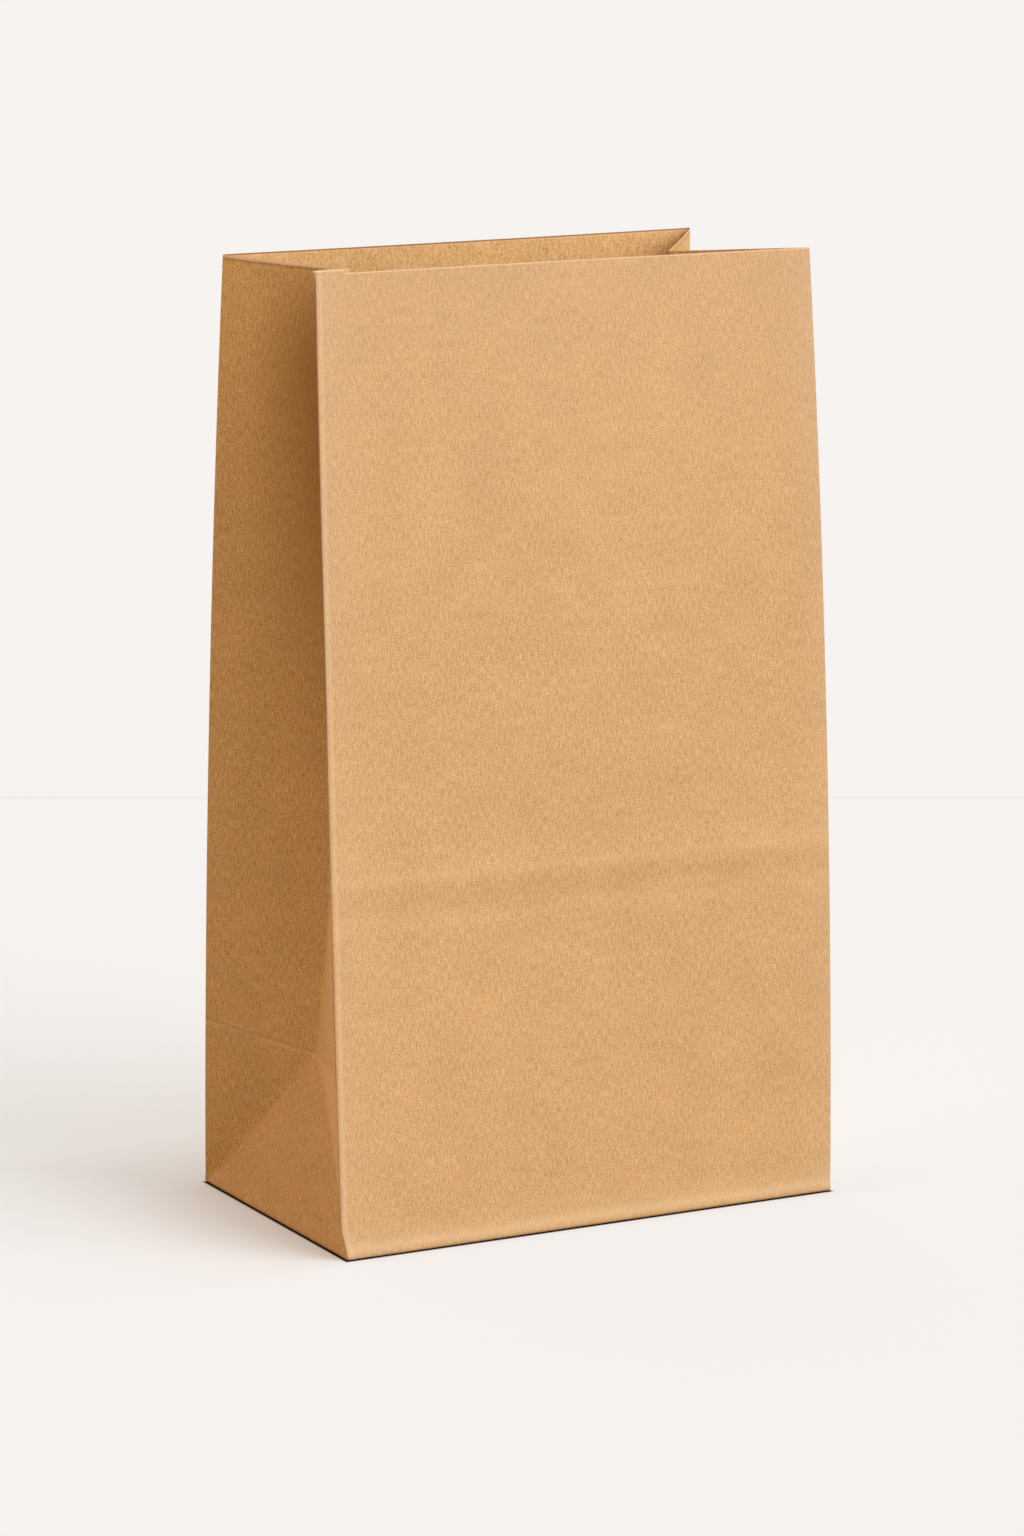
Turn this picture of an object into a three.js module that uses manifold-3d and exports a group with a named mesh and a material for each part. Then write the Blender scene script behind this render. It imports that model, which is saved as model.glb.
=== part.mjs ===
// A paper lunch bag: one sheet of kraft paper, creased, folded and glued into a square-bottomed bag.
// It stands open. Its front and back panels lean together towards the mouth, and both sides fold in.
//
// Millimetres. +X runs along the front panel to the right, -Y is the front and +Z is up.
// The origin is the centre of the bottom, on the surface that the bag stands on.

import * as THREE from 'three';
import { mergeGeometries, mergeVertices } from 'three/addons/utils/BufferGeometryUtils.js';
import Module from 'manifold-3d';

const wasm = await Module();
wasm.setup();

// Driving dimensions
const faceWidth = 152; // front and back panels, from corner fold to corner fold
const gussetWidth = 92; // side panels, which is also the depth of the bottom
const panelHeight = 265; // bottom fold to mouth, measured along the paper
const paperThickness = 0.12;
const pressHeight = 101; // line left by the folded bottom when the bag was packed flat
const pressRidge = 0.5; // how far that line stands proud of the panels
const pressSoftness = 8; // height over which it fades, above and below
const apexHeight = 48; // where the side creases meet, and the crease across the back
const crossCreaseDepth = 0.3; // how far the crease across the back is drawn in
const mouthHollow = 1.3; // how far the wide panels are drawn in at mid-width, at the mouth
const seamLap = 14; // glued lap down the middle of the back panel
const seamRamp = 6; // width over which the covering edge of the lap settles back to the panel
const bottomLap = 24; // how far the two bottom flaps lie over each other
const bottomPlyCount = 4; // plies of paper at each end of the bottom

// How far each upright corner fold leans in over the bottom, at the pressed line and at the mouth
const frontLeftLean = { press: 8.2, mouth: 16 };
const frontRightLean = { press: 3, mouth: 16.8 };
const backLeftLean = { press: 3.8, mouth: 18.3 };
const backRightLean = { press: 5.3, mouth: 8.7 };

// How far the middle crease of each side lies in from the corner folds, at the apex, the pressed line and the mouth
const leftCreaseInset = { apex: 14, press: 20, mouth: 24.5 };
const rightCreaseInset = { apex: 14, press: 20, mouth: 26 };
const creaseDip = 0.8; // how far the fullness of the sides draws the crease down, at the mouth
const gussetBow = 2.5; // how far each half of a side is bowed outward by that fullness, at the mouth

// Fineness of the mesh
const faceColumns = 10;
const backColumns = 4; // on each side of the lap
const gussetColumns = 4;
const lowRows = 3;
const highRows = 8;
const weldDistance = 1e-3;

// Half the bottom, and the reach of each bottom flap past its fold
const halfWidth = faceWidth / 2;
const halfDepth = gussetWidth / 2;
const flapReach = halfDepth + bottomLap / 2;

// Heights along the paper at which the walls are sampled, with a row at each crease
function evenSteps(from, to, count) {
  return Array.from({ length: count }, (_, i) => from + ((to - from) * (i + 1)) / count);
}

// Places across a panel, from 0 at one corner fold to 1 at the other
function evenColumns(count) {
  return [0, ...evenSteps(0, 1, count)];
}

// The back panel has a column at each edge of its lap
const lapStart = 0.5 - seamLap / 2 / faceWidth;
const lapEnd = 0.5 + seamLap / 2 / faceWidth;
const rampEnd = lapEnd + seamRamp / faceWidth;
const backAcross = [
  0,
  ...evenSteps(0, lapStart, backColumns),
  lapEnd,
  rampEnd,
  ...evenSteps(rampEnd, 1, backColumns),
];

const lowLevels = [0, ...evenSteps(0, apexHeight, lowRows)];
const highLevels = [
  apexHeight,
  ...evenSteps(apexHeight, pressHeight - pressSoftness, 2),
  ...evenSteps(pressHeight - pressSoftness, pressHeight, 2),
  ...evenSteps(pressHeight, pressHeight + pressSoftness, 2),
  ...evenSteps(pressHeight + pressSoftness, panelHeight, highRows),
];
const allLevels = [...lowLevels, ...highLevels.slice(1)];

// A corner fold is a parabola that leaves the bottom corner and passes both of its leans.
// The height above the table is the length along the paper less what the lean takes up.
function cornerFold(sideX, sideY, lean) {
  const pressSlope = lean.press / pressHeight;
  const mouthSlope = lean.mouth / panelHeight;
  const bend = (mouthSlope - pressSlope) / (panelHeight - pressHeight);
  const start = pressSlope - bend * pressHeight;
  return (along) => {
    const inward = along * (start + bend * along);
    const taken = start ** 2 * along + 2 * start * bend * along ** 2 + (4 / 3) * bend ** 2 * along ** 3;
    return new THREE.Vector3(sideX * halfWidth, sideY * (halfDepth - inward), along - taken / 2);
  };
}

const frontLeft = cornerFold(-1, -1, frontLeftLean);
const frontRight = cornerFold(1, -1, frontRightLean);
const backLeft = cornerFold(-1, 1, backLeftLean);
const backRight = cornerFold(1, 1, backRightLean);

// The middle crease of a side runs inward from the apex to the mouth, on a parabola through its three insets
function gussetCrease(front, back, sideX, inset) {
  const toPress = pressHeight - apexHeight;
  const toMouth = panelHeight - apexHeight;
  const pressSlope = (inset.press - inset.apex) / toPress;
  const mouthSlope = (inset.mouth - inset.apex) / toMouth;
  const bend = (mouthSlope - pressSlope) / (toMouth - toPress);
  const start = pressSlope - bend * toPress;
  const apexZ = Math.sqrt(apexHeight ** 2 - inset.apex ** 2);
  const rise = Math.sqrt(toMouth ** 2 - (inset.mouth - inset.apex) ** 2) - creaseDip;
  return (along) => {
    const up = along - apexHeight;
    const inward = inset.apex + up * (start + bend * up);
    const middle = front(along).add(back(along)).multiplyScalar(0.5);
    return new THREE.Vector3(middle.x - sideX * inward, middle.y, apexZ + (rise * up) / toMouth);
  };
}

// Below the apex two diagonal creases run down from it to the bottom corners
function diagonalCrease(corner, crease) {
  const foot = corner(0);
  const apex = crease(apexHeight);
  return (along) => foot.clone().lerp(apex, along / apexHeight);
}

// The pressed line is a low ridge right round the bag
function pressProud(along) {
  return pressRidge * Math.max(0, 1 - Math.abs(along - pressHeight) / pressSoftness);
}

// The front and back panels are drawn in at mid-width, most at the mouth
function hollowAt(across, along) {
  return mouthHollow * 4 * across * (1 - across) * (along / panelHeight) ** 2;
}

function crossCreaseAt(along) {
  return crossCreaseDepth * Math.max(0, 1 - Math.abs(along - apexHeight) / pressSoftness);
}

// Both lines run out where the panel meets its corner folds
function lineFade(across) {
  return Math.min(1, 12 * across * (1 - across));
}

// Points of the two wide panels, with across from 0 at the left corner fold to 1 at the right one
function frontPanel(across, along) {
  const point = frontLeft(along).lerp(frontRight(along), across);
  point.y += hollowAt(across, along) - pressProud(along) * lineFade(across);
  return point;
}

function backPanel(across, along) {
  const point = backLeft(along).lerp(backRight(along), across);
  point.y += (pressProud(along) - crossCreaseAt(along)) * lineFade(across) - hollowAt(across, along);
  return point;
}

// A patch of paper over rows and columns, facing out where across runs to the left of the way up
function patch(pointAt, levels, columns) {
  const positions = [];
  const indices = [];
  for (const along of levels) {
    for (const across of columns) {
      positions.push(...pointAt(across, along).toArray());
    }
  }
  for (let row = 0; row < levels.length - 1; row += 1) {
    for (let i = 0; i < columns.length - 1; i += 1) {
      const a = row * columns.length + i;
      const b = a + columns.length;
      indices.push(a, a + 1, b + 1, a, b + 1, b);
    }
  }
  const geometry = new THREE.BufferGeometry();
  geometry.setAttribute('position', new THREE.Float32BufferAttribute(positions, 3));
  geometry.setIndex(indices);
  return geometry;
}

// A flat stretch of paper between two creases, from the first to the second
function between(first, second) {
  return (across, along) => first(along).lerp(second(along), across);
}

// Above the apex the same stretch is bowed outward, more and more towards the mouth
function bowedBetween(first, second) {
  const up = new THREE.Vector3(0, 0, 1);
  return (across, along) => {
    const outward = second(along).sub(first(along)).cross(up).normalize();
    const share = (along - apexHeight) / (panelHeight - apexHeight);
    return between(first, second)(across, along)
      .addScaledVector(outward, gussetBow * share * 4 * across * (1 - across));
  };
}

// One side of the bag: two halves above the apex, and three triangles below it
function sidePatches(front, back, sideX, inset) {
  const crease = gussetCrease(front, back, sideX, inset);
  const frontDiagonal = diagonalCrease(front, crease);
  const backDiagonal = diagonalCrease(back, crease);
  const [near, nearDiagonal, farDiagonal, far] =
    sideX > 0 ? [front, frontDiagonal, backDiagonal, back] : [back, backDiagonal, frontDiagonal, front];
  const columns = evenColumns(gussetColumns);
  return [
    patch(bowedBetween(near, crease), highLevels, columns),
    patch(bowedBetween(crease, far), highLevels, columns),
    patch(between(near, nearDiagonal), lowLevels, columns),
    patch(between(nearDiagonal, farDiagonal), lowLevels, columns),
    patch(between(farDiagonal, far), lowLevels, columns),
  ];
}

// The outside face of the four walls, as one skin that is open at the mouth and at the bottom
function outsideSkin() {
  const patches = [
    patch(frontPanel, allLevels, evenColumns(faceColumns)),
    patch(backPanel, allLevels, backAcross.toReversed()),
    ...sidePatches(frontLeft, backLeft, -1, leftCreaseInset),
    ...sidePatches(frontRight, backRight, 1, rightCreaseInset),
  ];
  return withoutSlivers(mergeVertices(mergeGeometries(patches), weldDistance));
}

// Rows that close to a point leave triangles with two corners alike, which go
function withoutSlivers(geometry) {
  const kept = [];
  const index = geometry.index.array;
  for (let i = 0; i < index.length; i += 3) {
    const [a, b, c] = index.subarray(i, i + 3);
    if (a !== b && b !== c && c !== a) {
      kept.push(a, b, c);
    }
  }
  geometry.setIndex(kept);
  return geometry;
}

// Gives a skin the thickness of the paper, inward, and closes its open edges with the cut edge of the sheet
function thicken(skin, thickness) {
  const index = [...skin.index.array];
  const position = skin.attributes.position;
  const count = position.count;
  const corners = Array.from({ length: count }, (_, i) => new THREE.Vector3().fromBufferAttribute(position, i));
  const facesAt = Array.from({ length: count }, () => []);
  const openEdges = new Map();
  for (let i = 0; i < index.length; i += 3) {
    const face = index.slice(i, i + 3);
    const [a, b, c] = face.map((vertex) => corners[vertex]);
    const normal = new THREE.Triangle(a, b, c).getNormal(new THREE.Vector3());
    face.forEach((vertex, k) => {
      const next = face[(k + 1) % 3];
      const last = face[(k + 2) % 3];
      const toNext = corners[next].clone().sub(corners[vertex]);
      const toLast = corners[last].clone().sub(corners[vertex]);
      facesAt[vertex].push({ normal, angle: toNext.angleTo(toLast) });
      if (!openEdges.delete(`${next},${vertex}`)) {
        openEdges.set(`${vertex},${next}`, [vertex, next]);
      }
    });
  }
  const inside = corners.map((corner, vertex) => {
    const mean = new THREE.Vector3();
    let angles = 0;
    for (const { normal, angle } of facesAt[vertex]) {
      mean.addScaledVector(normal, angle);
      angles += angle;
    }
    const evenness = mean.length() / angles;
    return corner.clone().addScaledVector(mean.normalize(), -thickness / evenness);
  });
  for (const [vertex] of openEdges.values()) {
    inside[vertex].z = corners[vertex].z;
  }
  const closed = [...index];
  for (let i = 0; i < index.length; i += 3) {
    closed.push(index[i] + count, index[i + 2] + count, index[i + 1] + count);
  }
  for (const [a, b] of openEdges.values()) {
    closed.push(b, a, a + count, b, a + count, b + count);
  }
  const geometry = new THREE.BufferGeometry().setFromPoints([...corners, ...inside]);
  geometry.setIndex(closed);
  return geometry;
}

// A closed mesh as a solid that can be joined and cut
function solid(geometry) {
  const bare = new THREE.BufferGeometry();
  bare.setAttribute('position', geometry.attributes.position);
  bare.setIndex(geometry.index);
  const merged = mergeVertices(bare, weldDistance);
  const mesh = new wasm.Mesh({
    numProp: 3,
    vertProperties: new Float32Array(merged.attributes.position.array),
    triVerts: new Uint32Array(merged.index.array),
  });
  return new wasm.Manifold(mesh);
}

// A strip that follows the back panel down from the mouth.
// Its section is a list of points: place across the panel, and height above its outside face.
// Each of its faces is halved along the same diagonal as the panel, so that the two stay parallel.
function stripDownBack(section, levels) {
  const rows = levels.map((along) =>
    section.map(([across, proud]) => {
      const point = backPanel(across, along);
      point.y += proud;
      return point;
    }),
  );
  const size = section.length;
  const indices = [];
  for (let row = 0; row < rows.length - 1; row += 1) {
    for (let i = 0; i < size; i += 1) {
      const next = (i + 1) % size;
      const a = row * size + i;
      const b = row * size + next;
      if (section[i][0] >= section[next][0]) {
        indices.push(a, b, b + size, a, b + size, a + size);
      } else {
        indices.push(a, b, a + size, b, b + size, a + size);
      }
    }
  }
  const top = (rows.length - 1) * size;
  for (let i = 1; i < size - 1; i += 1) {
    indices.push(0, i + 1, i, top, top + i, top + i + 1);
  }
  const geometry = new THREE.BufferGeometry().setFromPoints(rows.flat());
  geometry.setIndex(indices);
  return solid(geometry);
}

// The covering edge of the lap stands one thickness proud and settles back past the covered edge
function seamLapOutside() {
  const buried = -paperThickness / 2;
  return stripDownBack([
    [lapEnd, buried],
    [rampEnd, buried],
    [lapEnd, paperThickness],
    [lapStart, paperThickness],
    [lapStart, buried],
  ], allLevels);
}

// Inside, the covered edge ends in a step, where the covering paper lies one thickness further out.
// The step runs down to the plies of the bottom.
function seamStepInside() {
  const clear = -1.5 * paperThickness;
  const levels = [bottomPlyCount * paperThickness, ...allLevels.slice(1)];
  return stripDownBack([
    [lapEnd, clear],
    [rampEnd, clear],
    [lapEnd, 0],
  ], levels);
}

// One ply of the bottom, with its edges buried in the middle of the wall paper.
// Its two faces are set to their exact heights, so that plies that touch share a face.
function ply(outline, low, high) {
  const shape = new THREE.Shape(outline.map(([x, y]) => new THREE.Vector2(x, y)));
  const geometry = new THREE.ExtrudeGeometry(shape, { depth: high - low, bevelEnabled: false });
  const position = geometry.attributes.position;
  for (let i = 0; i < position.count; i += 1) {
    position.setZ(i, position.getZ(i) > 0 ? high : low);
  }
  return solid(geometry);
}

// The bottom, from below: the outer flap from the front, the inner flap from the back, and the folded ends
// of the sides. The flaps have slanted ends, because at each corner the paper doubles under at 45 degrees.
function bottomPlies() {
  const plyTop = (count) => count * paperThickness;
  const x = halfWidth - paperThickness / 2;
  const y = halfDepth - paperThickness / 2;
  const flap = (side) => [
    [-x, side * y],
    [x, side * y],
    [x - flapReach, side * (y - flapReach)],
    [flapReach - x, side * (y - flapReach)],
  ];
  const cornerFold = (sideX, sideY) => [
    [sideX * x, sideY * y],
    [sideX * (x - flapReach), sideY * y],
    [sideX * (x - flapReach), sideY * (y - flapReach)],
  ];
  const sideEnd = (side) => [
    [side * x, -y],
    [side * x, y],
    [side * (x - flapReach), y],
    [side * (x - flapReach), -y],
  ];
  const plies = [ply(flap(-1), 0, plyTop(1)), ply(flap(1), plyTop(1), plyTop(2))];
  for (const sideX of [-1, 1]) {
    plies.push(ply(sideEnd(sideX), plyTop(3), plyTop(4)));
    for (const sideY of [-1, 1]) {
      plies.push(ply(cornerFold(sideX, sideY), plyTop(1), plyTop(3)));
    }
  }
  return plies;
}

function paperBagGeometry() {
  let bag = solid(thicken(outsideSkin(), paperThickness));
  bag = bag.add(seamLapOutside()).subtract(seamStepInside());
  for (const one of bottomPlies()) {
    bag = bag.add(one);
  }
  const mesh = bag.getMesh();
  const geometry = new THREE.BufferGeometry();
  geometry.setAttribute('position', new THREE.BufferAttribute(mesh.vertProperties, 3));
  geometry.setIndex(new THREE.BufferAttribute(mesh.triVerts, 1));
  geometry.computeVertexNormals();
  return geometry;
}

const kraftPaper = new THREE.MeshStandardMaterial({ color: 0xc59a68, roughness: 0.85, metalness: 0 });

const paperBag = new THREE.Mesh(paperBagGeometry(), kraftPaper);
paperBag.name = 'paper_bag';

const model = new THREE.Group();
model.add(paperBag);

export default model;
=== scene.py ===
import bpy
import math
import numpy as np
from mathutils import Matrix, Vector, noise


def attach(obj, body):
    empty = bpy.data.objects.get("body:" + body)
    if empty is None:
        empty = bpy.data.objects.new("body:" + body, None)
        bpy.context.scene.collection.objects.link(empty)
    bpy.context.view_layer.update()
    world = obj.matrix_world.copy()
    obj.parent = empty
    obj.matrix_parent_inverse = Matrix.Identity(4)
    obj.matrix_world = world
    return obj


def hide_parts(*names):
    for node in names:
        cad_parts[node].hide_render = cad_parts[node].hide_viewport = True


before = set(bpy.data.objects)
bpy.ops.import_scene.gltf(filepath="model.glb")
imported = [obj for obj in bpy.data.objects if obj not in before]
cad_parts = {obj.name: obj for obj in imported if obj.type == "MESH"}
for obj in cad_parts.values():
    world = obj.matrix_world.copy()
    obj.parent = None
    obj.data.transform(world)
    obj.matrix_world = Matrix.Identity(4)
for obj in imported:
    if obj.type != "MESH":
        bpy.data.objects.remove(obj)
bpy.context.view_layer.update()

# The walls: one sheet of brown kraft paper, wrapped into a tube and glued with a lap down the back.
# It is creased at four corner folds and down the middle of each side, then opened, so the sides fold in.
# A place on it is a distance round the tube from the front left fold, and one up from the bottom fold.
FACE_WIDTH = 0.152
SIDE_WIDTH = 0.092
SHEET_HEIGHT = 0.265
PAPER = 0.00012
HALF_WIDTH = FACE_WIDTH / 2
HALF_DEPTH = SIDE_WIDTH / 2
HALF_SIDE = SIDE_WIDTH / 2
GIRTH = 2 * FACE_WIDTH + 2 * SIDE_WIDTH
BACK_FROM = FACE_WIDTH + SIDE_WIDTH
BACK_TO = BACK_FROM + FACE_WIDTH

# The folds, the pressed line across all the panels, and the bottom crease that ends in each side's apex
FOLD_RADIUS = 0.0008
PRESS_HEIGHT = 0.101
PRESS_RIDGE = 0.0004
PRESS_SOFTNESS = 0.008
SIDE_PRESS = 0.3
LINE_STEEPNESS = 12
APEX_HEIGHT = 0.048
CROSS_CREASE_DEPTH = 0.0003
CREASE_DIP = 0.0008
SETTLE_STEEPNESS = 12

# How the opened paper gives: the foot of the front left fold, the sides, the mouth and an uneven surface
FRONT_LEFT_BELLY = 0.0016
BELLY_LOW = 0.009
BELLY_HIGH = 0.150
BELLY_FADE = 1.5
LEFT_BOW = 0.0016
RIGHT_BOW = 0.0004
MOUTH_HOLLOW = 0.0013
WAVE = 0.00016
WAVE_STEEPNESS = 6
BROAD_WAVES = (22, 15, 3.1)
CLOSE_WAVES = (60, 48, 7.7)
CLOSE_WAVE_SHARE = 0.25


def smooth(value):
    """Rises from 0 to 1 with a soft start and end, and holds outside them."""
    held = min(1.0, max(0.0, value))
    return held * held * (3 - 2 * held)


def hump(share, steepness=4):
    """0 at both folds and up to 1 between them. At 4 only the middle reaches 1, and above 4 more does."""
    return min(1.0, steepness * share * (1 - share))


def peak(along, place, softness):
    """1 on a pressed line, falling smoothly to 0 at its softness above and below."""
    return smooth(1 - abs(along - place) / softness)


def bottom_tuck(along):
    """How far the walls are drawn in where they round under into the bottom."""
    if along >= FOLD_RADIUS:
        return 0.0
    return FOLD_RADIUS - math.sqrt(FOLD_RADIUS**2 - (FOLD_RADIUS - along) ** 2)


def belly(along):
    """How far up to its most the foot of a corner fold stands out, from the bottom to where it ends."""
    if along < BELLY_LOW:
        return smooth(along / BELLY_LOW)
    return (max(0.0, BELLY_HIGH - along) / (BELLY_HIGH - BELLY_LOW)) ** BELLY_FADE


def corner_fold(side_x, side_y, press_lean, mouth_lean, belly_out=0.0):
    """An upright fold that leans in over the bottom, as a place for each height along the paper."""
    press_slope = press_lean / PRESS_HEIGHT
    mouth_slope = mouth_lean / SHEET_HEIGHT
    bend = (mouth_slope - press_slope) / (SHEET_HEIGHT - PRESS_HEIGHT)
    start = press_slope - bend * PRESS_HEIGHT

    def place(along):
        inward = along * (start + bend * along)
        taken = start**2 * along + 2 * start * bend * along**2 + 4 / 3 * bend**2 * along**3
        tuck = bottom_tuck(along)
        x = side_x * (HALF_WIDTH - tuck + belly_out * belly(along))
        y = side_y * (HALF_DEPTH - inward - tuck)
        return np.array((x, y, along - taken / 2))

    return place


def middle_crease(front, back, side_x, inset_apex, inset_press, inset_mouth):
    """The crease down the middle of a side, which runs further in towards the mouth."""
    to_press = PRESS_HEIGHT - APEX_HEIGHT
    to_mouth = SHEET_HEIGHT - APEX_HEIGHT
    press_slope = (inset_press - inset_apex) / to_press
    mouth_slope = (inset_mouth - inset_apex) / to_mouth
    bend = (mouth_slope - press_slope) / (to_mouth - to_press)
    start = press_slope - bend * to_press
    apex_z = math.sqrt(APEX_HEIGHT**2 - inset_apex**2)
    rise = math.sqrt(to_mouth**2 - (inset_mouth - inset_apex) ** 2) - CREASE_DIP

    def place(along):
        up = along - APEX_HEIGHT
        inward = inset_apex + up * (start + bend * up)
        middle = (front(along) + back(along)) / 2
        return np.array((middle[0] - side_x * inward, middle[1], apex_z + rise * up / to_mouth))

    return place


front_left = corner_fold(-1, -1, 0.0082, 0.016, FRONT_LEFT_BELLY)
front_right = corner_fold(1, -1, 0.003, 0.0168)
back_left = corner_fold(-1, 1, 0.0038, 0.0183)
back_right = corner_fold(1, 1, 0.0053, 0.0087)
left_crease = middle_crease(front_left, back_left, -1, 0.0148, 0.020, 0.0245)
right_crease = middle_crease(front_right, back_right, 1, 0.014, 0.020, 0.026)


def wave_at(around, along):
    """The slight unevenness of a sheet that has been folded flat and opened again."""
    broad, close = (
        noise.noise(Vector((around * waves_round, along * waves_up, slice_of_noise)))
        for waves_round, waves_up, slice_of_noise in (BROAD_WAVES, CLOSE_WAVES)
    )
    return WAVE * (broad + CLOSE_WAVE_SHARE * close)


def stretch(first, second, share, along, around, bulge):
    """A place on the paper between two folds, pushed out by its bulge and by the sheet's unevenness."""
    start = first(along)
    across = second(along) - start
    outward = np.cross(across, (0.0, 0.0, 1.0))
    outward /= np.linalg.norm(outward)
    wave = hump(share, WAVE_STEEPNESS) * wave_at(around, along)
    return start + across * share + outward * (bulge + wave)


def wide_bulge(share, along):
    """How far a wide panel stands out on its pressed line, less how hollow it is towards the mouth."""
    ridge = PRESS_RIDGE * peak(along, PRESS_HEIGHT, PRESS_SOFTNESS) * hump(share, LINE_STEEPNESS)
    return ridge - MOUTH_HOLLOW * hump(share) * (along / SHEET_HEIGHT) ** 2


# The knife left the front edge a little low to the left, with a short lip standing at the corner.
CUT_LOW = 0.00103
CUT_REACH = 0.02
CUT_LIP = 0.0009
LIP_WIDTH = 0.0083
LIP_STEP = 0.0012


def front_panel(share, along, around):
    """A place on the front panel, which is cut unevenly at the mouth."""
    place = stretch(front_left, front_right, share, along, around, wide_bulge(share, along))
    near_cut = smooth((along - SHEET_HEIGHT + CUT_REACH) / CUT_REACH)
    lip = CUT_LIP * (1 - smooth((around - LIP_WIDTH) / LIP_STEP))
    place[2] += near_cut * (lip - CUT_LOW * (1 - share))
    return place


# On the back panel the covering edge of the lap is one paper thickness proud.
# It settles back to the panel just past the covered edge, which ends in a step on the inside.
SEAM_LAP = 0.014
SEAM_RAMP = 0.006
SEAM_STEP = 0.00004
LAP_FROM = 0.5 - SEAM_LAP / 2 / FACE_WIDTH
LAP_TO = 0.5 + SEAM_LAP / 2 / FACE_WIDTH
RAMP_FROM = LAP_FROM - SEAM_RAMP / FACE_WIDTH
LAP_STEP = SEAM_STEP / FACE_WIDTH


def lap_proud(share):
    """How far the back panel stands out where it lies over its other end."""
    if share <= RAMP_FROM or share > LAP_TO:
        return 0.0
    return PAPER * min(1.0, (share - RAMP_FROM) / (LAP_FROM - RAMP_FROM))


def back_panel(share, along, around):
    """A place on the back panel, which has the bottom crease across it and the lap down its middle."""
    crease = CROSS_CREASE_DEPTH * peak(along, APEX_HEIGHT, PRESS_SOFTNESS) * hump(share, LINE_STEEPNESS)
    bulge = wide_bulge(share, along) - crease + lap_proud(share)
    return stretch(back_right, back_left, share, along, around, bulge)


def folded_foot(corner, crease, other_corner, share_in, along):
    """A place on half a side below its apex, on the triangle beside the fold or on the one between both."""
    apex = crease(APEX_HEIGHT)
    reach = along / APEX_HEIGHT
    foot, other_foot = corner(0), other_corner(0)
    diagonal = foot + (apex - foot) * reach
    if share_in < reach:
        start = corner(along)
        return start + (diagonal - start) * (share_in / reach)
    other_diagonal = other_foot + (apex - other_foot) * reach
    share = (share_in - reach) / (2 - 2 * reach)
    low = corner(along) - foot
    other_low = other_corner(along) - other_foot
    settle = max(0.0, 1 - reach * SETTLE_STEEPNESS)
    near = diagonal + (low - (apex - foot) * reach) * settle
    far = other_diagonal + (other_low - (apex - other_foot) * reach) * settle
    return near + (far - near) * share


def side_half(corner, crease, other_corner, bow, from_corner):
    """Half of a side, as a place for each share of the way over it, from its corner fold or towards it."""
    first, second = (corner, crease) if from_corner else (crease, corner)

    def place(share, along, around):
        if along < APEX_HEIGHT:
            share_in = share if from_corner else 1 - share
            return folded_foot(corner, crease, other_corner, share_in, along)
        up = (along - APEX_HEIGHT) / (SHEET_HEIGHT - APEX_HEIGHT)
        ridge = SIDE_PRESS * PRESS_RIDGE * peak(along, PRESS_HEIGHT, PRESS_SOFTNESS)
        return stretch(first, second, share, along, around, (bow * up + ridge) * hump(share))

    return place


PARTS = [
    ("front", FACE_WIDTH, front_panel),
    ("right_front", HALF_SIDE, side_half(front_right, right_crease, back_right, RIGHT_BOW, True)),
    ("right_back", HALF_SIDE, side_half(back_right, right_crease, front_right, RIGHT_BOW, False)),
    ("back", FACE_WIDTH, back_panel),
    ("left_back", HALF_SIDE, side_half(back_left, left_crease, front_left, LEFT_BOW, True)),
    ("left_front", HALF_SIDE, side_half(front_left, left_crease, back_left, LEFT_BOW, False)),
]

# The grid of the walls, which is close at the folds, the pressed line, the lip, the lap and the mouth
GRID_STEP = 0.0024
PRESS_STEP = 0.001
FOLD_STEPS = [0.00012, 0.0003, 0.00055, FOLD_RADIUS]
MOUTH_STEPS = [0.0008, 0.0004, 0.00015, 0.0]
LIP_COLUMNS = 4
LIP_CLEAR = 0.002
LAP_CLEAR = 0.004


def spaced(start, end, step):
    """Even steps from start to end, both left in."""
    return np.linspace(start, end, max(2, round((end - start) / step) + 1))


def between_folds(length):
    """Places from one fold to the next, close together at both so that the folds can be rounded."""
    inner = spaced(FOLD_RADIUS, length - FOLD_RADIUS, GRID_STEP)
    near = [0.0, *FOLD_STEPS[:-1]]
    return [*near, *inner, *[length - one for one in reversed(near)]]


low_rows = between_folds(APEX_HEIGHT)
press_from, press_to = PRESS_HEIGHT - PRESS_SOFTNESS, PRESS_HEIGHT + PRESS_SOFTNESS
high_rows = [
    *[APEX_HEIGHT + one for one in FOLD_STEPS],
    *spaced(APEX_HEIGHT + FOLD_RADIUS, press_from, GRID_STEP)[1:],
    *spaced(press_from, press_to, PRESS_STEP)[1:],
    *spaced(press_to, SHEET_HEIGHT - MOUTH_STEPS[0], GRID_STEP)[1:],
    *[SHEET_HEIGHT - one for one in MOUTH_STEPS[1:]],
]
rows = [*low_rows, *high_rows]


def panel_shares(places, clear):
    """Shares of the way over a wide panel, with some more places put in and none others close to them."""
    even = [one / FACE_WIDTH for one in between_folds(FACE_WIDTH)]
    kept = [one for one in even if all(abs(one - place) > clear for place in places)]
    return sorted([*kept, *places])


def column_shares(name):
    """Shares of the way over a part at which it has columns, without its last one."""
    if name == "front":
        steps = range(-1, LIP_COLUMNS + 2)
        lip = [(LIP_WIDTH + step * LIP_STEP / LIP_COLUMNS) / FACE_WIDTH for step in steps]
        return panel_shares(lip, LIP_CLEAR)[:-1]
    if name == "back":
        edges = [RAMP_FROM, LAP_FROM - LAP_STEP, LAP_FROM, LAP_TO, LAP_TO + LAP_STEP]
        return panel_shares(edges, LAP_CLEAR)[:-1]
    return [one / APEX_HEIGHT for one in low_rows[:-1]]


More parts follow.
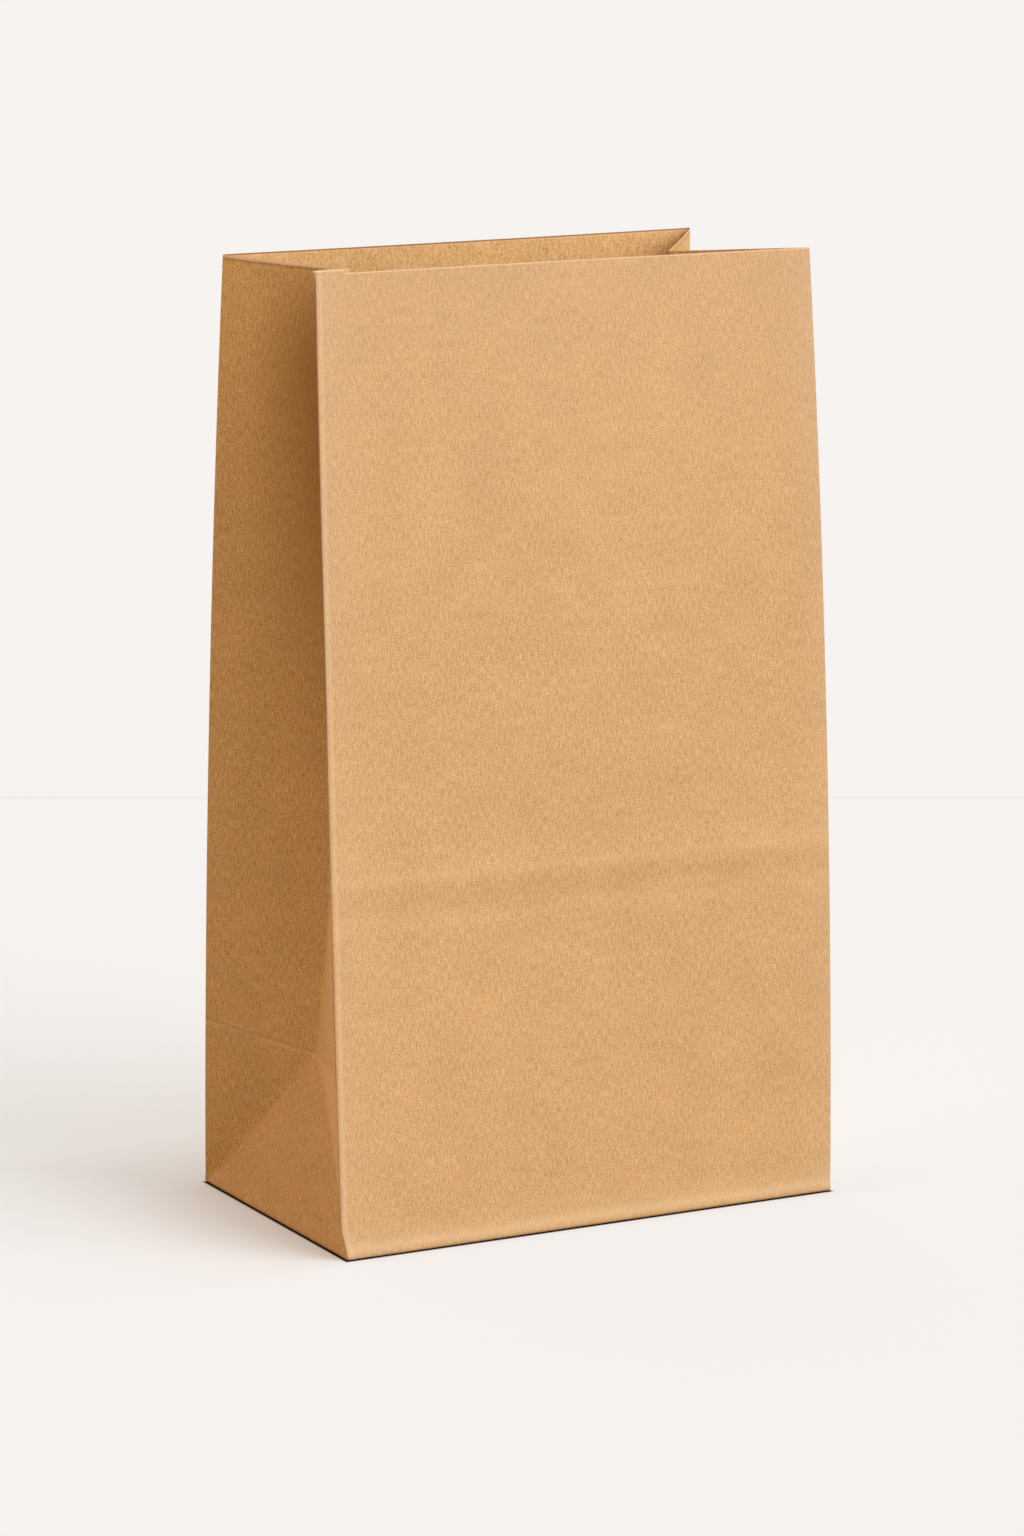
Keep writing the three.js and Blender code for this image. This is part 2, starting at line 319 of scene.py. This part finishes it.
def wall_grid():
    """The outside face, each column's distance round and thickness, and where each part starts."""
    columns, around, thickness, starts = [], [], [], {}
    start = 0.0
    for name, width, place in PARTS:
        starts[name] = len(columns)
        for share in column_shares(name):
            columns.append((place, share))
            around.append(start + share * width)
            doubled = name == "back" and LAP_FROM <= share <= LAP_TO
            thickness.append(2 * PAPER if doubled else PAPER)
        start += width
    grid = np.array([
        [place(share, along, u) for (place, share), u in zip(columns, around)]
        for along in rows
    ])
    return grid, around, np.array(thickness), starts


def round_folds(grid, folds):
    """Turns the paper through each fold on a small curve in place of a sharp corner."""
    count = grid.shape[1]
    reach = len(FOLD_STEPS)
    for fold in folds:
        before = grid[:, (fold - reach) % count].copy()
        corner = grid[:, fold].copy()
        after = grid[:, (fold + reach) % count].copy()
        for step in range(1 - reach, reach):
            place = 0.0 if step == 0 else math.copysign(FOLD_STEPS[abs(step) - 1], step)
            t = 0.5 + place / FOLD_RADIUS / 2
            curve = (1 - t) ** 2 * before + 2 * t * (1 - t) * corner + t**2 * after
            grid[:, (fold + step) % count] = curve


# The corner of the mouth at the front left fold is a little dog-eared.
EAR = 0.0006
EAR_HEIGHT = 0.0035
EAR_COLUMNS = 4


def flare_corner(grid):
    """Opens the very top of the front left fold."""
    for row, along in enumerate(rows):
        flare = smooth((along - SHEET_HEIGHT + EAR_HEIGHT) / EAR_HEIGHT)
        for column in range(-EAR_COLUMNS, EAR_COLUMNS):
            grid[row, column, 0] -= EAR * flare * (1 - abs(column + 0.5) / (EAR_COLUMNS + 0.5))


def inside_of(grid, thickness):
    """The inside face, a thickness in from the outside one, level with it at the mouth."""
    sideways = np.roll(grid, -1, axis=1) - np.roll(grid, 1, axis=1)
    normals = np.cross(sideways, np.gradient(grid, axis=0))
    normals /= np.linalg.norm(normals, axis=2, keepdims=True)
    inside = grid - normals * thickness[None, :, None]
    inside[-1, :, 2] = grid[-1, :, 2]
    inside[0, :, 2] = PAPER
    return inside


def cell_faces(row, column, starts, count):
    """The faces of one cell of the grid, in two where a diagonal crease of a side's foot runs across it."""
    a, b = (row, column), (row, column + 1)
    c, d = (row + 1, column + 1), (row + 1, column)
    in_foot = row < len(low_rows) - 1
    if in_foot and column in (starts["right_front"] + row, starts["left_back"] + row):
        return [[a, b, c], [a, c, d]]
    if in_foot and column in (starts["back"] - 1 - row, count - 1 - row):
        return [[a, b, d], [b, c, d]]
    return [[a, b, c, d]]


def wall_mesh():
    """The walls as points and faces, with the place on the sheet of each face's corners."""
    grid, around, thickness, starts = wall_grid()
    round_folds(grid, starts.values())
    flare_corner(grid)
    points = np.concatenate([grid.reshape(-1, 3), inside_of(grid, thickness).reshape(-1, 3)])
    row_count, count = grid.shape[:2]
    faces, places = [], []

    def add(corners, tone):
        """One face, from its corners' rows, columns and skins. Past the last column is the first again."""
        faces.append([(skin * row_count + row) * count + column % count for row, column, skin in corners])
        places.extend((around[c] if c < count else GIRTH, rows[r], tone) for r, c, _ in corners)

    for row in range(row_count - 1):
        for column in range(count):
            for face in cell_faces(row, column, starts, count):
                add([(r, c, 0) for r, c in face], 0)
                add([(r, c, 1) for r, c in face[::-1]], 1)
    for column in range(count):
        for row, order in ((row_count - 1, 1), (0, -1)):
            rim = [(row, column, 0), (row, column + 1, 0), (row, column + 1, 1), (row, column, 1)]
            add(rim[::order], 0.5)
    return points, faces, places


def paper_object(name, points, faces, places, rounded):
    """A piece of paper, each face corner of which knows its place on the sheet and its side of it."""
    mesh = bpy.data.meshes.new(name)
    mesh.from_pydata([tuple(one) for one in points], [], faces)
    sheet = mesh.attributes.new("sheet", "FLOAT_VECTOR", "CORNER")
    sheet.data.foreach_set("vector", np.array(places, dtype=np.float32).ravel())
    mesh.polygons.foreach_set("use_smooth", [rounded] * len(mesh.polygons))
    mesh.validate()
    mesh.update()
    piece = bpy.data.objects.new(name, mesh)
    bpy.context.scene.collection.objects.link(piece)
    return piece


class Wire:
    """One socket in a material's nodes. Sums on it add Math nodes, and make() adds any other node."""

    def __init__(self, tree, socket=None):
        self.tree = tree
        self.socket = socket

    def make(self, kind, settings=None, inputs=None, output=0):
        """A node with its settings, then its values and links. What comes back is one of its outputs."""
        node = self.tree.nodes.new(kind)
        for name, value in (settings or {}).items():
            setattr(node, name, value)
        for name, value in (inputs or {}).items():
            if isinstance(value, Wire):
                self.tree.links.new(value.socket, node.inputs[name])
            else:
                node.inputs[name].default_value = value
        return Wire(self.tree, node.outputs[output]) if node.outputs else None

    def sum(self, operation, first, second=0.0, clamped=False):
        """A Math node, held between 0 and 1 if it is clamped."""
        settings = {"operation": operation, "use_clamp": clamped}
        return self.make("ShaderNodeMath", settings, {0: first, 1: second})

    def __add__(self, other):
        return self.sum("ADD", self, other)

    __radd__ = __add__

    def __sub__(self, other):
        return self.sum("SUBTRACT", self, other)

    def __rsub__(self, other):
        return self.sum("SUBTRACT", other, self)

    def __mul__(self, other):
        return self.sum("MULTIPLY", self, other)

    __rmul__ = __mul__

    def __truediv__(self, other):
        return self.sum("DIVIDE", self, other)

    def __pow__(self, other):
        return self.sum("POWER", self, other)

    def __abs__(self):
        return self.sum("ABSOLUTE", self)

    def __gt__(self, other):
        return self.sum("GREATER_THAN", self, other)

    def __lt__(self, other):
        return self.sum("LESS_THAN", self, other)

    def clamped(self):
        """This value, held between 0 and 1."""
        return self.sum("ADD", self, 0.0, clamped=True)

    def rise(self, start, reach):
        """0 up to a start, rising evenly to 1 at a reach past it."""
        return ((self - start) / reach).clamped()

    def line(self, place, width):
        """1 where this value is at a place, falling evenly to 0 at a width on each side."""
        return self.sum("SUBTRACT", 1.0, abs(self - place) / width, clamped=True)

    def marks(self, *marks):
        """The sum of some lines, each given as its place, its width and its strength."""
        return sum(strength * self.line(place, width) for place, width, strength in marks)

    def part(self, axis):
        """One part of a vector."""
        return self.make("ShaderNodeSeparateXYZ", None, {0: self}, "XYZ".index(axis))

    def times(self, other):
        """A vector or colour times another, part by part."""
        return self.make("ShaderNodeVectorMath", {"operation": "MULTIPLY"}, {0: self, 1: other})

    def plus(self, other):
        """A vector or colour plus another."""
        return self.make("ShaderNodeVectorMath", {"operation": "ADD"}, {0: self, 1: other})

    def of(self, vector):
        """A vector or colour scaled by this value."""
        return self.make("ShaderNodeVectorMath", {"operation": "SCALE"}, {0: vector, "Scale": self})

    def noise(self, size, detail=2, roughness=0.5):
        """Soft noise about 0, with features of a size in metres."""
        inputs = {"Vector": self, "Scale": 1 / size, "Detail": detail, "Roughness": roughness}
        return self.make("ShaderNodeTexNoise", None, inputs) - 0.5

    def mixed(self, first, second):
        """Two colours, mixed by this value."""
        return self.make("ShaderNodeMix", {"data_type": "RGBA"}, {0: self, 6: first, 7: second}, 2)


def new_material(name):
    """An empty material, and a wire to add its nodes with."""
    material = bpy.data.materials.new(name)
    material.use_nodes = True
    material.node_tree.nodes.clear()
    return material, Wire(material.node_tree)


# The sheet is uncoated kraft: long brown fibres that lie up and down the bag, with a fine cloudy grain.
# Pale fibres are greyer than the brown ones, so the grain changes blue most and red least.
KRAFT = (0.598, 0.340, 0.134, 1)
# Painted light and shade: the sides take a warmer copy of the paper, standing in for the brown light that
# bounces between the folded sides.
KRAFT_SHADED_SIDE = (0.615, 0.338, 0.107, 1)
KRAFT_DARK = (0.340, 0.150, 0.042, 1)
# Painted shade: this deep brown goes into the inward folds, down the middle of each side.
KRAFT_VALLEY_SHADE = (0.370, 0.152, 0.004, 1)
# Painted shade: this dark brown goes into the thin lines where the paper turns away at a fold.
KRAFT_SHADE = (0.200, 0.075, 0.006, 1)
KRAFT_INSIDE = (0.604, 0.370, 0.151, 1)
# Painted sheen: this paler colour lies over the front panel beside its folds, over the wide panels towards
# the mouth, and a little on the corner pieces.
KRAFT_SHEEN = (0.660, 0.430, 0.300, 1)
KRAFT_PALE = (0.860, 0.610, 0.360, 1)
ROUGHNESS = 0.60
GRAIN_ROUGHNESS = 0.25
BUMP = 0.35
BUMP_HEIGHT = 0.00012

# The size of each kind of unevenness in metres, how much it lightens or darkens, and its share of the bump
GRAIN_SIZE, GRAIN, GRAIN_BUMP = 0.00042, 1.45, 0.6
FIBRE_SIZE, FIBRES, FIBRE_BUMP = 0.00055, 0.75, 0.6
CLOUD_SIZE, CLOUDS, CLOUD_BUMP = 0.014, 0.24, 0.8
DRIFT_SIZE, DRIFT = 0.07, 0.12
FIBRE_SQUEEZE = 0.22
SKIN_APART = 0.4
GRAIN_TINT = (0.56, 1.0, 2.0)
SIDE_GRAIN = 0.55

# Painted light: parts of the sheet made lighter than the rest, where more light falls on them: the inside,
# the top of the left side, the corner pieces
INSIDE_PAINTED_LIGHT = 0.23
LEFT_TOP_PAINTED_LIGHT = 0.18
LEFT_TOP_RISE = (0.18, 0.08)
CORNER_PAINTED_LIGHT = 0.11
CORNER_SHEEN = 0.02
CORNER_FOOT = 0.014

# Marks across the sheet and up it, each as its place, how far it fades to both sides and how strong it is
CROSS_CREASE = (APEX_HEIGHT, 0.0003, 0.5)
BELOW_CROSS_CREASE = (APEX_HEIGHT - 0.0011, 0.0009, 0.14)
# Painted highlight on and just above the pressed line and a second one lower down, with painted shade
# between them just below the line.
PRESS_HIGHLIGHT = (PRESS_HEIGHT + 0.0008, 0.0030, 0.10)
PRESS_HIGHLIGHT_LOW = (PRESS_HEIGHT - 0.0115, 0.0040, 0.06)
PRESS_SHADE = (PRESS_HEIGHT - 0.0055, 0.0045, 0.06)
# Painted shade at the very foot, where the walls round under to the floor, and a painted highlight on the
# rounding just above it.
FOOT_SHADE = (0.0, 0.0012, 0.8)
FOOT_HIGHLIGHT = (0.0026, 0.0022, 0.28)
FOOT_HIGHLIGHT_SOFT = (0.0040, 0.0060, 0.14)
SEAM = BACK_TO - HALF_WIDTH + SEAM_LAP / 2
LAP_PALE = (SEAM, 0.00022, 0.4)
# Painted shade just past the lap's covering edge, beside its pale line.
LAP_SHADE = (SEAM + 0.0004, 0.0005, 0.35)
# Painted highlight: a thin pale line on the front panel beside its left fold.
FOLD_SHINE = (0.0017, 0.0009, 0.25)
# Painted sheen on the front panel beside both its folds.
FOLD_SHEEN = [(0.0, 0.018, 0.16), (FACE_WIDTH, 0.012, 0.16)]
# Painted shade: thin dark lines where the paper turns out of sight at the front left fold, and at the front
# right and back left folds.
FOLD_TURN = [(0.0, 0.0008, 1.8), (GIRTH, 0.0012, 1.8)]
FOLD_EDGE = [(FACE_WIDTH, 0.0006, 0.6), (BACK_TO, 0.0006, 0.6)]
FOLD_SHADE = 0.85
FOLD_TURN_LOW = 0.20
FOLD_TURN_RISE = (0.13, 0.04)
# Painted shade down the middle crease of each side, where the folded halves shade each other.
VALLEYS = [(FACE_WIDTH + HALF_SIDE, 0.036, 1.0), (BACK_TO + HALF_SIDE, 0.036, 1.0)]
VALLEY_RISE = (0.12, 0.10)
VALLEY_END, VALLEY_FADE = 0.272, 0.035
# Painted sheen on the wide panels, growing towards the mouth.
MOUTH_SHEEN = 0.14
MOUTH_SHEEN_RISE = (0.16, 0.10)
CREASE_SHOWS, CREASE_BREAKS, BREAK_SIZE = 0.9, 1.6, 0.006

# Painted highlights and painted shade lines at the cut edge, measured down from it
CUT_HIGHLIGHT = 0.5
CUT_WIDTH, CUT_WIDER_ON_SIDES = 0.00034, 0.0003
CUT_STRONGER_ON_SIDES, CUT_WEAKER_ON_RIGHT = 0.6, 0.8
SIDE_CUT_SHADE = (0.0011, 0.00045, 0.6)
BACK_CUT_SHADE_WIDTH, BACK_CUT_SHADE = 0.00040, 0.9
BACK_CUT_HIGHLIGHT = (0.00062, 0.00028, 0.5)
INSIDE_FROM = 0.4


def paper_grain(sheet):
    """The fine grain, the fibres, the clouds and the broad drift of the paper, each about 0."""
    spread = sheet.times((1, 1, SKIN_APART))
    fibres = sheet.times((1, FIBRE_SQUEEZE, SKIN_APART)).noise(FIBRE_SIZE)
    clouds = spread.noise(CLOUD_SIZE, 3, 0.6)
    return spread.noise(GRAIN_SIZE), fibres, clouds, spread.noise(DRIFT_SIZE, 1)


def corner_pieces(wire, around, along):
    """The narrow triangles beside the front folds, from a little above the bottom to each side's apex."""
    from_front = wire.sum("MINIMUM", GIRTH - around, abs(around - FACE_WIDTH))
    width = (along - CORNER_FOOT) * (APEX_HEIGHT / (APEX_HEIGHT - CORNER_FOOT))
    return (from_front < width) * (along < APEX_HEIGHT)


def cut_marks(along, on_back, sides, right_side, skin):
    """How dark and how pale the paper is at the mouth, where painted highlights and painted shade lines run
    along the cut edge.
    """
    from_cut = SHEET_HEIGHT - along
    back_inside = on_back * (skin > INSIDE_FROM)
    edge = (from_cut < CUT_WIDTH + CUT_WIDER_ON_SIDES * sides) * (1 - back_inside)
    edge = edge * (1 + CUT_STRONGER_ON_SIDES * sides) * (1 - CUT_WEAKER_ON_RIGHT * right_side)
    pale = CUT_HIGHLIGHT * edge + from_cut.marks(BACK_CUT_HIGHLIGHT) * back_inside
    dark = (from_cut < BACK_CUT_SHADE_WIDTH) * back_inside * BACK_CUT_SHADE
    return dark + from_cut.marks(SIDE_CUT_SHADE) * sides, pale


def crease_marks(sheet, around, along):
    """How dark and how pale the bottom crease is. It shows on the back and the back half of each side."""
    shows = (around > FACE_WIDTH + HALF_SIDE) * (around < BACK_TO + HALF_SIDE)
    unbroken = (CREASE_SHOWS + CREASE_BREAKS * sheet.times((1, 0, 0)).noise(BREAK_SIZE, 1)).clamped()
    return along.marks(CROSS_CREASE) * shows * unbroken, along.marks(BELOW_CROSS_CREASE) * shows


def kraft_paper():
    """The paper, from each place on the sheet and its skin, which is 0 outside and 1 inside."""
    material, wire = new_material("kraft_paper")
    sheet = wire.make("ShaderNodeAttribute", {"attribute_name": "sheet"}, None, "Vector")
    around, along, skin = sheet.part("X"), sheet.part("Y"), sheet.part("Z")
    outside = 1 - skin
    on_back = (around > BACK_FROM) * (around < BACK_TO)
    wide = (around < FACE_WIDTH) + on_back
    sides = (1 - wide) * outside
    right_side = (around > FACE_WIDTH) * (around < BACK_FROM)
    in_valley = around.marks(*VALLEYS)
    corner_piece = corner_pieces(wire, around, along) * sides

    # The even tone of the paper and its grain, with painted light on the inside, the top of the left side
    # and the corner pieces
    grain, fibres, clouds, drift = paper_grain(sheet)
    left_top = along.rise(*LEFT_TOP_RISE) * sides * (around > BACK_TO) * (1 - in_valley)
    broad = (1 + CLOUDS * clouds + DRIFT * drift) * (1 + INSIDE_PAINTED_LIGHT * skin)
    broad = broad * (1 + LEFT_TOP_PAINTED_LIGHT * left_top) * (1 + CORNER_PAINTED_LIGHT * corner_piece)
    speckle = (GRAIN * grain + FIBRES * fibres) * (1 + SIDE_GRAIN * sides)
    plain = skin.mixed(sides.mixed(KRAFT, KRAFT_SHADED_SIDE), KRAFT_INSIDE)
    shaded = broad.of(plain.times(speckle.of(GRAIN_TINT).plus((1, 1, 1))))

    # Painted shade: deep brown in the inward folds, and dark lines where the paper turns out of sight at a
    # fold
    deep = in_valley * along.rise(*VALLEY_RISE) * ((VALLEY_END - along) / VALLEY_FADE).clamped() * outside
    turn = around.marks(*FOLD_TURN) * (FOLD_TURN_LOW + (1 - FOLD_TURN_LOW) * along.rise(*FOLD_TURN_RISE))
    fold_shade = (turn + around.marks(*FOLD_EDGE)) * outside

    # Dark and pale along the creases, painted shade and highlights along the pressed line, the cut edges,
    # the lap and the foot, and a painted sheen on the wide panels
    crease_dark, crease_pale = crease_marks(sheet, around, along)
    cut_dark, cut_pale = cut_marks(along, on_back, sides, right_side, skin)
    dark = crease_dark + cut_dark + along.marks(PRESS_SHADE, FOOT_SHADE) + around.marks(LAP_SHADE) * outside
    sheen = (around.marks(*FOLD_SHEEN) + MOUTH_SHEEN * along.rise(*MOUTH_SHEEN_RISE)) * wide * outside
    sheen = sheen + CORNER_SHEEN * corner_piece
    pale = crease_pale + cut_pale + along.marks(PRESS_HIGHLIGHT, PRESS_HIGHLIGHT_LOW) * wide
    pale = (pale + around.marks(LAP_PALE) * outside).clamped()
    pale = pale + along.marks(FOOT_HIGHLIGHT, FOOT_HIGHLIGHT_SOFT) * wide + around.marks(FOLD_SHINE) * outside

    colour = deep.mixed(shaded, KRAFT_VALLEY_SHADE)
    colour = (FOLD_SHADE * fold_shade.clamped()).mixed(colour, KRAFT_SHADE)
    colour = dark.clamped().mixed(colour, KRAFT_DARK)
    colour = sheen.clamped().mixed(colour, KRAFT_SHEEN)
    colour = pale.clamped().mixed(colour, KRAFT_PALE)
    relief = GRAIN_BUMP * grain + FIBRE_BUMP * fibres + CLOUD_BUMP * clouds
    bump = wire.make("ShaderNodeBump", None, {"Height": relief, "Strength": BUMP, "Distance": BUMP_HEIGHT})
    surface = wire.make("ShaderNodeBsdfPrincipled", None, {
        "Base Color": colour,
        "Roughness": ROUGHNESS + GRAIN_ROUGHNESS * grain,
        "Normal": bump,
    })
    wire.make("ShaderNodeOutputMaterial", None, {"Surface": surface})
    return material


walls = paper_object("bag_walls", *wall_mesh(), True)
kraft = kraft_paper()
walls.data.materials.append(kraft)
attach(walls, "root")
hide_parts("paper_bag")

# The bottom: the ends of the four walls, folded under and glued into one flat square.
# From below there is the outer flap from the front, the inner one from the back, then the doubled corners
# and the ends of the sides. Both flaps have slanted ends, because each corner folds under at 45 degrees.
BOTTOM_LAP = 0.024
FLAP_REACH = HALF_DEPTH + BOTTOM_LAP / 2
PLY_PLACE = (0.6, -0.2)
PLY_APART = 0.3


def ply(outline, low, high):
    """One ply of the bottom as a thin plate, with its corners and its faces."""
    count = len(outline)
    points = [(x, y, low) for x, y in outline] + [(x, y, high) for x, y in outline]
    faces = [list(range(count)), list(range(count, 2 * count))]
    area = sum(outline[i - 1][0] * outline[i][1] - outline[i][0] * outline[i - 1][1] for i in range(count))
    faces[0 if area > 0 else 1].reverse()
    for i in range(count):
        after = (i + 1) % count
        side = [i, after, count + after, count + i]
        faces.append(side if area > 0 else side[::-1])
    return points, faces


def bottom_plies():
    """Each ply's outline from above, with how many thicknesses up its two faces are."""
    x = HALF_WIDTH - FOLD_RADIUS
    y = HALF_DEPTH - FOLD_RADIUS
    end_x, end_y = x - FLAP_REACH, y - FLAP_REACH
    flaps = [
        [(-x, side * y), (x, side * y), (end_x, side * end_y), (-end_x, side * end_y)]
        for side in (-1, 1)
    ]
    plies = [(flaps[0], 0, 1), (flaps[1], 1, 2)]
    for side_x in (-1, 1):
        outer, end = side_x * x, side_x * end_x
        plies.append(([(outer, -y), (outer, y), (end, y), (end, -y)], 3, 4))
        for side_y in (-1, 1):
            plies.append(([(outer, side_y * y), (end, side_y * y), (end, side_y * end_y)], 1, 3))
    return plies


def bottom_mesh():
    """The bottom as points and faces. Each ply takes its grain from a place of its own, past the walls."""
    points, faces, places = [], [], []
    for number, (outline, low, high) in enumerate(bottom_plies()):
        ply_points, ply_faces = ply(outline, low * PAPER, high * PAPER)
        for face in ply_faces:
            faces.append([len(points) + i for i in face])
            for i in face:
                x, y, _ = ply_points[i]
                places.append((x + PLY_PLACE[0] + PLY_APART * number, y + PLY_PLACE[1], 0.0))
        points.extend(ply_points)
    return points, faces, places


bottom = paper_object("bag_bottom", *bottom_mesh(), False)
bottom.data.materials.append(kraft)
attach(bottom, "root")
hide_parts("paper_bag")

# The camera stands before the bag to the left, a little above its mouth, and looks slightly down.
EYE = (-0.66487, -1.25212, 0.38974)
HEADING = 0.487174
DOWN = 0.187800
LENS = 121.42
SENSOR_WIDTH = 36
NEAR_AND_FAR = (0.05, 60)

camera = bpy.data.objects.new("camera", bpy.data.cameras.new("camera"))
camera.location = EYE
camera.rotation_euler = (math.pi / 2 - DOWN, 0, -HEADING)
camera.data.lens = LENS
camera.data.sensor_width = SENSOR_WIDTH
camera.data.clip_start, camera.data.clip_end = NEAR_AND_FAR
bpy.context.scene.collection.objects.link(camera)
bpy.context.scene.camera = camera

# The floor is one flat pale sheet that reaches far enough to stand in for a wall behind, with a faint line
# of painted shade across it where such a wall would meet it.
# The camera sees a share of it as an even glow. The share is smaller close to the bag, which paints the
# shade there darker, and larger before the front panel, which paints light over the shade there.
# Light that bounces off it is duller, and the gap under the bag's edge is painted nearly black as its
# shadow.
FLOOR_REACH = 14.0
FLOOR_TOP = -0.00015
FLOOR_COLOUR = (0.835, 0.868, 0.918, 1)
SKY = (0.925, 0.890, 0.865, 1)
FLOOR_BOUNCE = (0.60, 0.60, 0.60, 1)
FLOOR_EVEN = 0.60
FRONT_EVEN = 0.86
FRONT_FADE = 0.006
CONTACT_EVEN = 0.25
CONTACT_REACH = 0.05
GAP_SHADOW_COLOUR = (0.02, 0.015, 0.01, 1)
GAP_REACH = 0.0008
# Painted shade: the faint line across the floor.
LINE_SHADE_COLOUR = (0.3, 0.28, 0.26, 1)
LINE_STRENGTH = 0.07
LINE_AWAY = 1.99
LINE_WIDTH = 0.008


def floor_material():
    """The pale floor, with a painted shade line across it and a painted shadow in the gap under the bag's
    edge.
    """
    material, wire = new_material("pale_floor")
    place = wire.make("ShaderNodeNewGeometry", None, None, "Position")
    seen = wire.make("ShaderNodeLightPath", None, None, "Is Camera Ray")
    x, y = place.part("X"), place.part("Y")
    line_at = EYE[0] * math.sin(HEADING) + EYE[1] * math.cos(HEADING) + LINE_AWAY
    line = LINE_STRENGTH * (x * math.sin(HEADING) + y * math.cos(HEADING)).line(line_at, LINE_WIDTH)
    from_bag = wire.sum("MAXIMUM", abs(x) - HALF_WIDTH, abs(y) - HALF_DEPTH)
    # Painted shadow: nearly black in the gap under the bag's edge.
    gap = ((GAP_REACH - from_bag) / GAP_REACH).clamped()
    colour = gap.mixed(line.mixed(FLOOR_COLOUR, LINE_SHADE_COLOUR), GAP_SHADOW_COLOUR)
    paper = wire.make("ShaderNodeBsdfDiffuse", None, {"Color": seen.mixed(FLOOR_BOUNCE, colour)})
    even = wire.make("ShaderNodeEmission", None, {"Color": line.mixed(SKY, LINE_SHADE_COLOUR)})
    # Painted shade near the bag and painted light before its front panel, through the glow's share.
    clear = (from_bag / CONTACT_REACH).clamped()
    in_front = ((-HALF_DEPTH - y) / FRONT_FADE).clamped()
    share = CONTACT_EVEN + (FLOOR_EVEN - CONTACT_EVEN) * clear
    share = (share + (FRONT_EVEN - share) * in_front) * (1 - gap) * seen
    surface = wire.make("ShaderNodeMixShader", None, {0: share, 1: paper, 2: even})
    wire.make("ShaderNodeOutputMaterial", None, {"Surface": surface})
    return material


floor_mesh = bpy.data.meshes.new("floor")
floor_turns = [(-1, -1), (1, -1), (1, 1), (-1, 1)]
floor_corners = [(x * FLOOR_REACH, y * FLOOR_REACH, FLOOR_TOP) for x, y in floor_turns]
floor_mesh.from_pydata(floor_corners, [], [(0, 1, 2, 3)])
floor_mesh.materials.append(floor_material())
floor = bpy.data.objects.new("floor", floor_mesh)
bpy.context.scene.collection.objects.link(floor)

# The light: one large soft lamp high to the front right, and weaker soft light from screens all round.
LAMP_FROM = (0.45, -0.62, 0.64)
LAMP_STRENGTH = 1.5
LAMP_SPREAD = math.radians(45)
SCREEN_NARROWNESS = 2
SCREENS = [
    ((0.52, -0.84, 0.2), (1.95, 1.95, 1.95)),
    ((0.3, 1, 0.2), (1.50, 1.55, 1.50)),
    ((-0.8, 0.6, 0.2), (1.13, 0.66, 0.25)),
]

lamp = bpy.data.objects.new("lamp", bpy.data.lights.new("lamp", "SUN"))
lamp.data.energy = LAMP_STRENGTH
lamp.data.angle = LAMP_SPREAD
lamp.rotation_euler = Vector(LAMP_FROM).to_track_quat("Z", "Y").to_euler()
bpy.context.scene.collection.objects.link(lamp)


def screens(air):
    """The light that reaches the bag from every direction, as a colour."""
    way = air.make("ShaderNodeTexCoord", None, None, "Generated")
    total = None
    for facing, colour in SCREENS:
        inputs = {0: way, 1: tuple(Vector(facing).normalized())}
        toward_it = air.make("ShaderNodeVectorMath", {"operation": "DOT_PRODUCT"}, inputs, "Value")
        light = (toward_it.clamped() ** SCREEN_NARROWNESS).of(colour)
        total = total.plus(light) if total else light
    return total


world = bpy.data.worlds.new("studio")
world.use_nodes = True
world.node_tree.nodes.clear()
bpy.context.scene.world = world
air = Wire(world.node_tree)
seen = air.make("ShaderNodeLightPath", None, None, "Is Camera Ray")
glow = air.make("ShaderNodeBackground", None, {"Color": seen.mixed(screens(air), SKY), "Strength": 1.0})
air.make("ShaderNodeOutputWorld", None, {"Surface": glow})

bpy.context.scene.view_settings.view_transform = "Standard"
